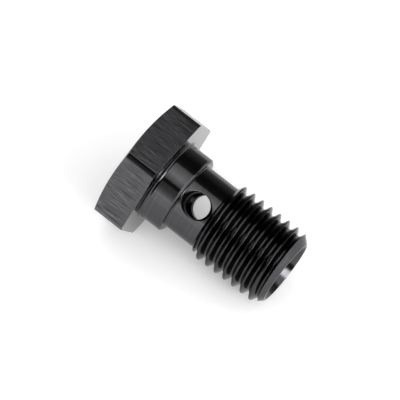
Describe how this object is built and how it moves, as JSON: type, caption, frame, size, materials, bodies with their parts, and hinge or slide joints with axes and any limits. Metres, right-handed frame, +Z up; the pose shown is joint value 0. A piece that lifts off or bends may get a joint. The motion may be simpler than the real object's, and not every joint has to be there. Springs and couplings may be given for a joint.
{
  "type": "banjo bolt",
  "caption": "Short hexagon-head banjo bolt in black anodised aluminium, with a plain shoulder, a cross-drilled neck, a fine thread and a blind bore from the tip.",
  "frame": {"origin": "floor level, below the middle of the part's box, with the bolt lying on its side", "axes": "+X from the head towards the tip along the floor, +Z up; the bolt's own axis dips from +X by about 9 degrees towards the tip"},
  "size_m": [0.0276, 0.02, 0.0184],
  "materials": {
    "black_anodised": "satin black anodised, brushed hexagon flats"
  },
  "bodies": {
    "root": {"banjo_bolt": "black_anodised"}
  },
  "joints": []
}
